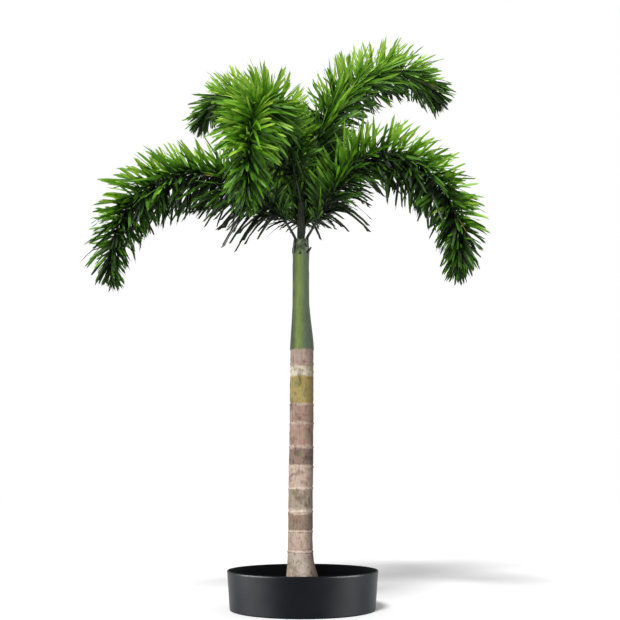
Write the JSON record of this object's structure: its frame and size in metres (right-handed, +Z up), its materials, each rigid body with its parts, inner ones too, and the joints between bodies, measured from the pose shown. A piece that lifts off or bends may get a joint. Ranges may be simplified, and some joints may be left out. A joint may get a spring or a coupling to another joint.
{
  "type": "potted foxtail palm",
  "caption": "Foxtail palm with a pale ringed trunk, a green crownshaft and arching plume fronds, standing in a shallow round black planter.",
  "frame": {"origin": "centre of the planter's flat underside", "axes": "+Z up along the trunk, +X to the right and -Y towards the viewer of the front view"},
  "size_m": [2.0424, 2.0786, 3.2449],
  "materials": {
    "planter": "satin near-black moulded plastic",
    "soil": "dark, damp, crumbly",
    "bark": "matt grey-beige bark with pale leaf-scar rings",
    "crownshaft": "smooth waxy green",
    "leaf_stalk": "smooth dark green",
    "dry_sheath": "dry, fibrous, brown-grey",
    "leaflets": "leathery green, a little glossy above"
  },
  "bodies": {
    "root": {"pot": "planter", "potting_soil": "soil", "trunk": "bark", "crownshaft": "crownshaft", "heart_stem": "leaf_stalk", "sheath_stub": "dry_sheath", "petiole_left": "leaf_stalk", "frond_left_inner": "leaflets", "frond_left_outer": "leaflets", "petiole_right": "leaf_stalk", "frond_right_inner": "leaflets", "frond_right_outer": "leaflets", "petiole_upper_right": "leaf_stalk", "frond_upper_right_inner": "leaflets", "frond_upper_right_outer": "leaflets", "petiole_upper_left": "leaf_stalk", "frond_upper_left_inner": "leaflets", "frond_upper_left_outer": "leaflets", "petiole_front": "leaf_stalk", "frond_front_inner": "leaflets", "frond_front_outer": "leaflets", "petiole_rear_left": "leaf_stalk", "frond_rear_left_inner": "leaflets", "frond_rear_left_outer": "leaflets", "petiole_rear_right": "leaf_stalk", "frond_rear_right_inner": "leaflets", "frond_rear_right_outer": "leaflets"}
  },
  "joints": []
}
